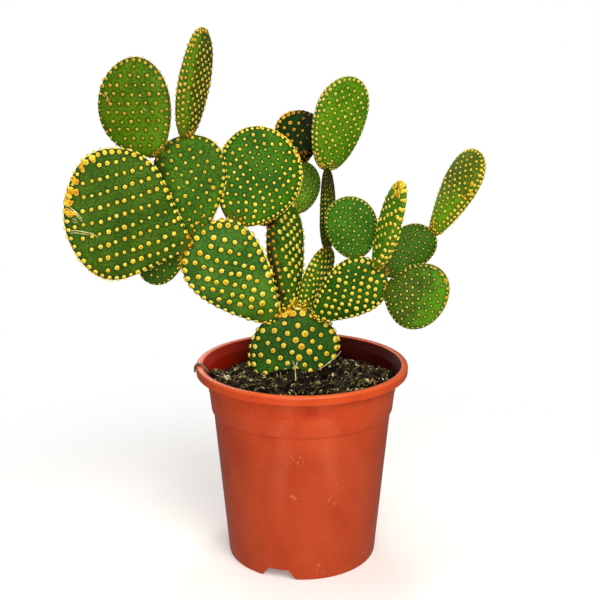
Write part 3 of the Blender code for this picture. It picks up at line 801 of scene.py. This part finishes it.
def growPads():
    chance = random.Random(padForm["seed"])
    f, count = tuftForm, 0
    tufts = [modelTuft(chance, f["sides"], f["bristles"]) for _ in range(f["models"])]
    small = [modelTuft(chance, f["smallSides"], f["smallBristles"]) for _ in range(f["smallModels"])]
    felts = {palette: tuftMaterial(palette) for palette in palettes}
    for p in pads:
        local, sizes, ripe = areoles(p, chance)
        skin, centres, normals = shapeSkin(p, local, sizes)
        slotName = p.slot + "_skin"
        dress(skin, skinMaterial(p), slotName, p.name)
        radii = p.tuft * sizes
        shapes = tufts if p.tuft > f["smallTuft"] else small
        picks = [chance.randrange(len(shapes)) for _ in radii]
        bristles = stampCopies(p.name + "_areoles", shapes, picks, tuftBases(normals, radii, chance),
                               centres - normals * 0.3 * mm, dict(shade=None, ripe=ripe))
        dress(bristles, felts[p.palette], slotName)
        lines = [[surfaceAt(p, x, z) for x, z in line] for line in p.scars]
        if lines:
            layStrands(p.name + "_scars", lines, [padForm["scar"]] * len(lines), slotName, "pale_cork",
                       [(0.3, "#8a8a48"), (0.5, "#d6cc90"), (0.7, "#f2ecc8")])
        count += len(radii)
        print(p.name, "grown with", len(radii), "areoles and", len(skin.data.polygons), "faces of skin")
    print("areoles in all:", count)


growPads()

# The soil: dark peat with crumbs, moss, root fibres, straws and a few stones.
soilForm = dict(level=150 * mm, lump=11 * mm, lumpHeight=2.6 * mm, heap=7.0 * mm, bottom=11.75 * mm,
                segments=280, rings=92, topRings=76, seed=7)
potForm = dict(
    sides=160, foot=60.8 * mm, skirt=2.2 * mm, recess=9.5 * mm, wall=1.7 * mm, floor=11.3 * mm,
    pan=44.0 * mm, slant=1.5 * mm, stepHeight=123.5 * mm, stepRadius=72.0 * mm, bandRadius=73.2 * mm,
    bandTop=76.5 * mm, lipBottom=153.6 * mm, lipRadius=85.0 * mm, mouth=79.5 * mm, height=160.8 * mm,
    notchAngle=-107.6)
soil, pot = SimpleNamespace(**soilForm), SimpleNamespace(**potForm)


def innerRadius(z):
    # the inside of the pot's wall, up to the lip
    heights = (1.4 * mm, pot.stepHeight - 0.4 * mm, pot.stepHeight + 0.6 * mm, pot.lipBottom)
    radii = (pot.foot, pot.stepRadius - 0.4 * mm, pot.bandRadius, pot.bandTop)
    return np.interp(z, heights, radii) - pot.wall


def soilHeight(x, y):
    # the lumpy top, which has sunk along the back wall
    back = min(max((y + 0.004) / 0.028, 0), 1)
    level = soil.level + (1 - back) * 0.0030 * (x / 0.07) ** 2
    level -= back * 0.0085 * (hypot(x, y) / 0.073) ** 3 + 0.0015 * max(-y / 0.07, 0) ** 2
    # it is heaped up against the front of the lowest pad
    out = hypot(x + 0.003, y)
    away = out - out / max(hypot((x + 0.003) / 0.036, y / 0.012), 1e-6)
    level += soil.heap * float(smooth(1 - away / 0.024) * smooth((0.010 - y) / 0.014))
    lumps = noise.noise(Vector((x, y, 0.3)) / soil.lump) * soil.lumpHeight
    lumps += noise.noise(Vector((x, y, 0.9)) / (0.4 * soil.lump)) * 0.5 * soil.lumpHeight
    edge = min(1, max(0.0, (0.0749 - hypot(x, y)) / 0.004 + 0.25))
    return level + lumps * edge


def soilMaterial():
    # moist peat and bark compost: near black, dull, with browner clods
    return grainyMaterial(
        "peat_compost", [(0.3, "#030302"), (0.5, "#0c0805"), (0.62, "#1c140b"), (0.75, "#3c2e18")],
        scale=260.0, detail=6.0, rough=0.7, bump=(0.9, 0.0015), Roughness=0.95, Specular_IOR_Level=0.1)


def layBed():
    # a ball pressed into the pot: most rings make the lumpy top, the rest the side and the bottom
    bed = newPiece("soil_bed", bpy.ops.mesh.primitive_uv_sphere_add, segments=soil.segments,
                   ring_count=soil.rings, radius=1)
    ball = getVectors(bed)
    ring = np.round(np.arccos(np.clip(ball[:, 2], -1, 1)) / np.pi * soil.rings).astype(int)
    pan, low = pot.pan - 0.6 * mm, pot.wall + 0.45 * mm
    side = [(innerRadius(z) - 0.6 * mm, z)
            for z in (0.138, 0.13, 0.1241, 0.1231, 0.1, 0.075, 0.05, 0.03, 0.018)]
    side += [(innerRadius(soil.bottom) - 3.1 * mm, soil.bottom), (pan, soil.bottom)]
    side += [(radius, low) for radius in (pan - pot.slant, 0.03, 0.02, 0.01, 0)]
    points = np.zeros_like(ball)
    for number, (k, a) in enumerate(zip(ring, np.arctan2(ball[:, 1], ball[:, 0]))):
        top = (innerRadius(soil.level) - 0.9 * mm) * k / soil.topRings
        radius, z = side[k - soil.topRings - 1] if k > soil.topRings else (top, None)
        x, y = radius * cos(a), radius * sin(a)
        if z is None:
            fine = noise.noise(Vector((x, y, 2.1)) / 0.0032) * 0.9 * mm
            fine += noise.noise(Vector((x, y, 4.4)) / 0.0014) * 0.4 * mm
            z = soilHeight(x, y) + fine * (1 if k < soil.topRings - 1 else 0.2)
        points[number] = x, y, z
    setPoints(bed, points)
    bed.data.shade_smooth()
    return bed


def offTheBase(place, margin):
    # whether a place is outside the lowest pad
    return fullness(pads[0], toLocal(pads[0], np.array([place])), margin)[0] > 1


def soilSpots(chance, count, reach=73.5 * mm):
    # random places on the bed, none inside the lowest pad
    found = []
    while len(found) < count:
        x, y = chance.uniform(-reach, reach), chance.uniform(-reach, reach)
        place = np.array([x, y, soilHeight(x, y)])
        if hypot(x, y) <= min(reach, innerRadius(place[2]) - 1.2 * mm) and offTheBase(place, 0.4 * mm):
            found.append(place)
    return found


def crumbMaterial(name, stops, roughness=0.9):
    # broken bark and peat clods: each crumb has its own brown, with a finer mottle on it
    return grainyMaterial(name, stops, ("tone",), 900.0, lift=(0.6, 1.4), bump=(0.6, 0.0005),
                          Roughness=roughness, Specular_IOR_Level=0.12)


def strew(chance, name, shapes, picks, bases, origins, *finish):
    # copies of a few models, each with its own tone
    piece = stampCopies(name, shapes, picks, bases, origins, dict(tone=[chance.random() for _ in picks]))
    dress(piece, crumbMaterial(*finish), "soil")


def modelCrumb(chance, detail, wobble):
    crumb = newPiece("crumb_model", bpy.ops.mesh.primitive_ico_sphere_add, subdivisions=detail, radius=1)
    points = getVectors(crumb)
    shift = Vector([chance.uniform(0, 50) for _ in range(3)])
    swell = np.array([1 + wobble * noise.noise(Vector(point) * 1.3 + shift) for point in points])
    setPoints(crumb, points * swell[:, None] * np.array([1, 0.8, 0.62]))
    return readShape(crumb)


def randomBasis(chance, size):
    # rows of a random turn, scaled a little unevenly
    turn = Vector([chance.gauss(0, 1) for _ in range(3)]).to_track_quat("Z", "Y").to_matrix()
    return np.array(turn) * size * np.array([chance.uniform(0.75, 1.25) for _ in range(3)])[:, None]


def scatterCrumbs(chance):
    up = np.array([0, 0, mm])
    browns = [(0.0, "#030302"), (0.6, "#0d0805"), (0.84, "#24160c"), (0.95, "#4c351a"), (1.0, "#94774a")]
    crumbs = [modelCrumb(chance, 1, 1.1) for _ in range(6)]
    clods = [modelCrumb(chance, 2, 1.3) for _ in range(4)]
    # sizes in millimetres and the share of a crumb that is sunk in the bed
    for kind, shapes, count, low, high, sink in (
            ("crumbs", crumbs, 2000, 0.5, 1.7, 0.1), ("clods", clods, 400, 1.4, 3.4, 0.35)):
        spots = soilSpots(chance, count)
        sizes = [low * mm * (high / low) ** (chance.random() ** 1.6) for _ in spots]
        bases = [randomBasis(chance, size) for size in sizes]
        origins = [spot + np.array([0, 0, (0.5 - sink) * size]) for spot, size in zip(spots, sizes)]
        picks = [chance.randrange(len(shapes)) for _ in spots]
        strew(chance, "soil_" + kind, shapes, picks, bases, origins, "bark_" + kind, browns)
    grit = range(70)
    strew(chance, "soil_perlite", crumbs, [chance.randrange(6) for _ in grit],
          [randomBasis(chance, chance.uniform(0.4, 0.9) * mm) for _ in grit],
          [spot + 0.5 * up for spot in soilSpots(chance, len(grit))],
          "expanded_perlite", [(0, "#b9b09a"), (1, "#efe9da")])
    spots = soilSpots(chance, 5)
    spots += [np.array([x, y, soilHeight(x, y)]) for x, y in ((0.034, -0.0166), (0.0126, -0.0219))]
    strew(chance, "soil_stones", clods, [chance.randrange(4) for _ in spots],
          [randomBasis(chance, chance.uniform(1.6, 2.8) * mm) for _ in spots],
          [spot + 0.6 * up for spot in spots], "slate_grit", [(0, "#15181a"), (1, "#363c40")], 0.7)


def modelMoss(chance, leaves=7):
    # short leaves that lean out round an upright one
    sprig = newPiece("moss_model", bpy.ops.mesh.primitive_cone_add, vertices=3, radius1=0.13, radius2=0,
                     depth=1, location=(0, 0, 0.4))
    startEdit()
    for number in range(leaves):
        around = 2 * pi * number / leaves + chance.uniform(-0.3, 0.3)
        way = Vector((cos(around), sin(around), chance.uniform(0.35, 1.3))).normalized()
        addSpike(way, 0.12, -0.1, 0.9)
    endEdit(bpy.ops.mesh.quads_convert_to_tris)
    return readShape(sprig)


# where moss and root threads gather: x, y, spread and the share that grows there
mossBeds = [(0.050, -0.012, 0.026, 0.30), (0.042, 0.022, 0.021, 0.18), (-0.047, -0.010, 0.018, 0.19),
            (-0.056, -0.026, 0.012, 0.07), (0.030, -0.040, 0.018, 0.09), (-0.022, -0.034, 0.018, 0.11),
            (-0.02, 0.05, 0.014, 0.05), (0.004, -0.028, 0.016, 0.07), (-0.048, 0.030, 0.012, 0.06)]


def bedSpots(chance, count):
    found = []
    for x0, y0, spread, share in mossBeds:
        for _ in range(int(share * count)):
            x, y = x0 + chance.gauss(0, 0.5) * spread, y0 + chance.gauss(0, 0.5) * spread
            place = np.array([x, y, soilHeight(x, y) + 0.5 * mm])
            if hypot(x, y) < 72.5 * mm and offTheBase(place, 0.5 * mm):
                found.append(place)
    return found


def growMoss(chance):
    # cushion moss, half dried: olive with straw-coloured tips
    sprigs = [modelMoss(chance) for _ in range(3)]
    origins = bedSpots(chance, 1300)
    sizes = [chance.uniform(1.5, 3.6) * mm for _ in origins]
    strew(chance, "soil_moss", sprigs, [chance.randrange(3) for _ in sizes],
          tuftBases([np.array([0, 0, 1.0])] * len(sizes), sizes, chance), origins,
          "cushion_moss", [(0, "#0e0d05"), (0.4, "#2e2c0d"), (0.72, "#645a26"), (1, "#beb074")])


def layFibres(chance):
    lines, widths = [], []
    for spot in soilSpots(chance, 420, 71 * mm) + bedSpots(chance, 940):
        heading, bend = chance.uniform(0, 2 * pi), chance.gauss(0, 0.8)
        length = chance.choice((3, 4, 4.5, 5, 6, 9)) * chance.uniform(0.8, 1.2) * mm
        arch = chance.uniform(0.4, 2.6) * mm
        line, x, y = [], spot[0], spot[1]
        for number in range(8):
            rise = sin(pi * number / 7) * arch
            if hypot(x, y) < 73.8 * mm:
                line.append((x, y, soilHeight(x, y) + 0.5 * mm + rise))
            heading += bend + chance.gauss(0, 0.25)
            x, y = x + length / 7 * cos(heading), y + length / 7 * sin(heading)
        if len(line) > 4 and all(fullness(pads[0], toLocal(pads[0], np.array(line)), 0.4 * mm) > 1):
            lines.append(line)
            widths.append(chance.choice((0.2, 0.28, 0.36, 0.46)) * mm)
    layStrands("soil_fibres", lines, widths, "soil", "coir_fibre",
               [(0.43, "#100e05"), (0.52, "#342c0f"), (0.59, "#84743a"), (0.67, "#f4eac4")])


# the pale roots and straws that lie in front of the lowest pad, in millimetres, and how thick each is
straws = [
    (0.62, [(-4.9, -27, 153.6), (-5.1, -22, 157.4), (-5.4, -17, 160.6), (-6.2, -15.6, 163),
            (-7.3, -15.5, 166.4)]),
    (0.5, [(-5.3, -17.4, 160), (-4.8, -15.9, 161.8), (-4.1, -15.7, 164), (-3.7, -15.5, 166.6)]),
    (0.4, [(13, -13, 158), (18, -9.5, 160), (23.5, -5, 163), (28, -1, 165.5), (31.3, 2, 168.5)]),
    (0.5, [(-69, -12, 153), (-64, -17, 153.6), (-59, -21, 153.4), (-55, -23, 152.6)]),
    (0.42, [(-47, -5, 152.6), (-43, -8, 153.2), (-38, -9, 153), (-34, -13, 151.8)]),
    (0.4, [(-55, -12, 152), (-52, -9, 153.4), (-49, -9.5, 153.8), (-45, -6, 152.4)]),
    (0.36, [(-12, -20, 150.6), (-9.5, -23, 151.9), (-6, -23.5, 152), (-4, -27, 150.8)]),
    (0.36, [(40, -2, 151), (44, 1, 152.6), (48, 0.5, 152.8), (51, 3.5, 151)]),
    (0.4, [(33, -27, 151), (37, -29, 152), (41, -28, 152), (44, -30.5, 151.5)])]
# the cord hooked over the lip: distance from the pot's axis and height, and where it hangs
hook = dict(strands=3, thick=0.8 * mm, angle=187, twists=26,
            route=[(73.5, 153.2), (76, 155.6), (78.6, 159.4), (80.4, 161.6), (82.6, 161.9),
                   (84.8, 160.8), (85.8, 158.2), (85.9, 154.5)])


def layWisps(threads=16):
    # the straws, and a tuft of threads at the back
    lines, thick = [line for _, line in straws], [width for width, _ in straws] + [0.3] * threads
    chance = random.Random(3)
    for _ in range(threads):
        x, y, around = 45 + chance.gauss(0, 1.6), 46 + chance.gauss(0, 2), chance.uniform(0, 6.3)
        lines.append([(x + t * cos(around), y + t * sin(around), 143.6 + 0.8 * t - 0.1 * t * t)
                      for t in range(6)])
    layStrands("pale_wisps", [np.array(line) * mm for line in lines], [width * mm for width in thick],
               "soil", "bleached_straw", [(0.3, "#9a8c62"), (0.5, "#d8cca0"), (0.7, "#f4eed6")])


def hookCord():
    ways, stops = np.linspace(0, 1, 40), np.linspace(0, 1, len(hook["route"]))
    reach, rise = (np.interp(ways, stops, values) for values in zip(*hook["route"]))
    strands = []
    for number in range(hook["strands"]):
        swing = hook["twists"] * ways + 2.1 * number
        angle = radians(hook["angle"]) + 0.02 * np.sin(5 * ways) + 0.55 * np.cos(swing) / reach
        out, up = reach + 0.45 * np.sin(swing), rise + 0.4 * np.cos(swing)
        strands.append(np.stack([out * np.cos(angle), out * np.sin(angle), up], 1) * mm)
    layStrands("hooked_cord", strands, [hook["thick"]] * len(strands), "soil",
               "jute_twine", [(0.35, "#2c241a"), (0.5, "#665842"), (0.65, "#8f8064")])


def fillPot():
    chance = random.Random(soil.seed)
    dress(layBed(), soilMaterial(), "soil", "soil")
    scatterCrumbs(chance)
    growMoss(chance)
    layFibres(chance)
    layWisps()
    hookCord()
    print("soil laid")


fillPot()


# The pot: polypropylene, injection moulded, so satin with soft edges, faint flow lines and scuffs.
def potRings():
    # radius and height from the raised underside down round the foot, up, over the lip and back inside,
    # each as one of the pot's sizes and millimetres more
    step, lip, under, top, mouth = pot.stepHeight, pot.lipRadius, pot.lipBottom, pot.height, pot.mouth
    pan, leg, fold, inner = pot.pan + pot.slant, pot.foot - pot.skirt, lip - pot.wall, innerRadius(under)
    rings = [
        (pot.pan, -0.4, 0, 0), (pot.pan, 0, 0, 0.4), (pan, -0.2, pot.recess, -0.5),
        (pan, 0.4, pot.recess, 0), (leg, -0.8, pot.recess, 0), (leg, 0, 0, 0.5), (leg, 0.4, 0, 0),
        (pot.foot, -0.9, 0, 0), (pot.foot, -0.25, 0, 0.35), (pot.foot, 0, 0, 1.4),
        (pot.stepRadius, -0.4, step, -0.5), (pot.stepRadius, 0.2, step, -0.15),
        (pot.bandRadius, -0.15, step, 0.35), (pot.bandRadius, 0.1, step, 1.0),
        (0, 74.86, 0, 139.4), (0, 75.26, 0, 139.9), (0, 75.22, 0, 140.8), (pot.bandTop, 0, under, 0),
        (mouth, 1.5, top, -2.0), (lip, -2.2, top, -2.0), (fold, 0, under, 0.3), (fold, 0.3, under, 0),
        (lip, -0.6, under, 0), (lip, -0.2, under, 0.5), (lip, 0, top, -2.2), (lip, -0.25, top, -1.1),
        (lip, -0.9, top, -0.35), (lip, -1.7, top, 0), (lip, -3.0, top, -0.1), (mouth, 1.2, top, -0.3),
        (mouth, 0.4, top, -0.5), (mouth, 0, top, -1.2), (inner, 0.35, under, 0.6),
        (inner, 0, under, -0.4)]
    rings += [(innerRadius(base + more * mm), 0, base, more)
              for base, more in ((step, 0.6), (step, -0.4), (pot.floor, 2))]
    rings += [(innerRadius(pot.floor), -2, pot.floor, 0), (pot.pan, 0, pot.floor, 0),
              (pot.pan - pot.slant, 0, pot.wall, 0)]
    return [(float(radius + out * mm), float(height + up * mm)) for radius, out, height, up in rings]


def turnPot():
    rings = potRings()
    turned = newPiece("nursery_pot", bpy.ops.mesh.primitive_circle_add, vertices=pot.sides,
                      radius=rings[0][0], fill_type="NGON", location=(0, 0, rings[0][1]))
    bpy.ops.object.transform_apply()
    startEdit()
    for (r0, z0), (r1, z1) in zip(rings, rings[1:]):
        bpy.ops.mesh.extrude_region_move(TRANSFORM_OT_translate={"value": (0, 0, z1 - z0)})
        bpy.ops.transform.resize(value=(r1 / r0, r1 / r0, 1), center_override=(0, 0, z1))
    endEdit(bpy.ops.mesh.normals_make_consistent, inside=False)
    return turned


def cutNotches(turned, count=3, middle=60.5 * mm):
    # flared openings in the foot, which let the water out
    for number in range(count):
        cutter = newPiece("notch_room", bpy.ops.mesh.primitive_plane_add, size=1,
                          location=(middle, 0, 8 * mm))
        cutter.scale = (0.015, 0.0165, 1)
        bpy.ops.object.transform_apply()
        startEdit()
        for drop, wider in ((0.7, 1.07), (5.3, 1.42), (1.2, 1.09), (0.8, 1.12), (2.5, 1.2)):
            bpy.ops.mesh.extrude_region_move(TRANSFORM_OT_translate={"value": (0, 0, -drop * mm)})
            bpy.ops.transform.resize(value=(1, wider, 1), center_override=(middle, 0, 0))
        endEdit(bpy.ops.mesh.normals_make_consistent, inside=False)
        cutter.rotation_euler.z = radians(pot.notchAngle + 360 / count * number)
        bpy.ops.object.transform_apply(rotation=True)
        selectOnly(turned)
        cut = turned.modifiers.new("notch", "BOOLEAN")
        cut.operation = "DIFFERENCE"
        cut.solver = "EXACT"
        cut.object = cutter
        bpy.ops.object.modifier_apply(modifier="notch")
        bpy.data.objects.remove(cutter)


def potMaterial():
    # terracotta-coloured polypropylene, satin from the mould, with chalky scuffs, painted shade towards
    # the foot and on the inside, and a painted highlight on the lip's edge
    plastic, add, place = newMaterial("moulded_polypropylene", IOR=1.49, Specular_IOR_Level=0.25)
    flow = add("Mapping", {"Vector": place, "Scale": (1.0, 1.0, 0.6)})
    cloud = add("TexNoise", {"Vector": flow, "Scale": 38.0, "Detail": 3.0, "Roughness": 0.6})
    cloudy = add("MapRange", {"Value": cloud, "From": (0.35, 0.65)})
    body = add("Mix", {0: cloudy, 6: "#a63a17", 7: "#b04420"}, out=2, data_type="RGBA")
    # painted light and shade: the plastic is darker towards the foot and lighter towards the lip
    across, up = (add("SeparateXYZ", {0: place}, out=axis) for axis in "XZ")
    raised = add("MapRange", {"Value": up, "From": (0.1, 0.156), "To": (0.9, 1.22)})
    body = add("VectorMath", {0: body, "Scale": raised}, operation="SCALE")
    # a painted highlight along the lip's top edge
    lip_highlight = add("MapRange", {"Value": up, "From": (0.1585, 0.1606), "To": (0, 0.5)})
    # a red-brown smear under the lip, about 3 cm long
    centred = add("Mapping", {"Vector": place, "Location": (-0.55, 0, -19.3), "Scale": (62, 0, 133)})
    far = add("VectorMath", {0: centred}, out="Value", operation="LENGTH")
    ragged = add("Math", {0: cloud, 1: far}, operation="ADD")
    smear = add("MapRange", {"Value": ragged, "From": (1.5, 0.8), "To": (0, 0.65)})
    # scuffs a few millimetres long, where the plastic has gone pale
    stretch = add("Mapping", {"Vector": place, "Scale": (1.0, 1.0, 0.45)})
    spots = add("TexNoise", {"Vector": stretch, "Scale": 620.0, "Detail": 2.0})
    moved = add("Mapping", {"Vector": place, "Location": (0.3, 0.1, 0.2)})
    patches = add("TexNoise", {"Vector": moved, "Scale": 45.0, "Detail": 1.0})
    sparse = add("Math", {0: spots, 1: patches}, operation="MULTIPLY")
    scuff = add("MapRange", {"Value": sparse, "From": (0.44, 0.48), "To": (0, 0.3)})
    # painted shade on the inside wall: darker at the right, lighter at the left where light falls on it
    inside = add("Attribute", out="Fac", attribute_name="inside")
    shift = add("MapRange", {"Value": across, "From": (-0.062, -0.04)})
    inside_shade = add("Mix", {0: shift, 6: "#9a1e07", 7: "#3e0601"}, out=2, data_type="RGBA")
    # the lip's highlight and the inside's darkening are painted light and shade; the smear and the
    # scuffs are the plastic's own marks
    for mask, finish in ((lip_highlight, "#ea6a36"), (smear, "#921c08"), (scuff, "#dba184"), (inside, inside_shade)):
        body = add("Mix", {0: mask, 6: body, 7: finish}, out=2, data_type="RGBA")
    wear = add("MapRange", {"Value": cloud, "To": (0.25, 0.31)})
    orange = add("TexNoise", {"Vector": place, "Scale": 700.0, "Detail": 2.0})
    # level lines about 1 mm apart, left by the turning of the mould
    level = add("Mapping", {"Vector": place, "Scale": (0.03, 0.03, 1.0)})
    ridges = add("TexNoise", {"Vector": level, "Scale": 900.0, "Detail": 3.0})
    lines = add("Bump", {"Height": ridges, "Strength": 0.07, "Distance": 0.0004})
    bump = add("Bump", {"Height": orange, "Strength": 0.06, "Distance": 0.0003, "Normal": lines})
    plugIn(plastic, Base_Color=body, Roughness=wear, Normal=bump)
    return plastic


def makePot():
    turned = turnPot()
    cutNotches(turned)
    selectOnly(turned)
    bpy.ops.object.shade_smooth_by_angle(angle=radians(32))
    x, y, height = getVectors(turned).T
    flare = np.interp(height, (pot.lipBottom, 0.1598), (innerRadius(pot.lipBottom), pot.mouth))
    wall = np.where(height < pot.lipBottom, innerRadius(height), flare) + 0.4 * mm
    setTrait(turned, "inside", (np.hypot(x, y) < wall) & (height > 0.013) & (height < 0.1601))
    dress(turned, potMaterial(), "pot", "pot")
    print("pot turned:", len(turned.data.polygons), "faces")


makePot()
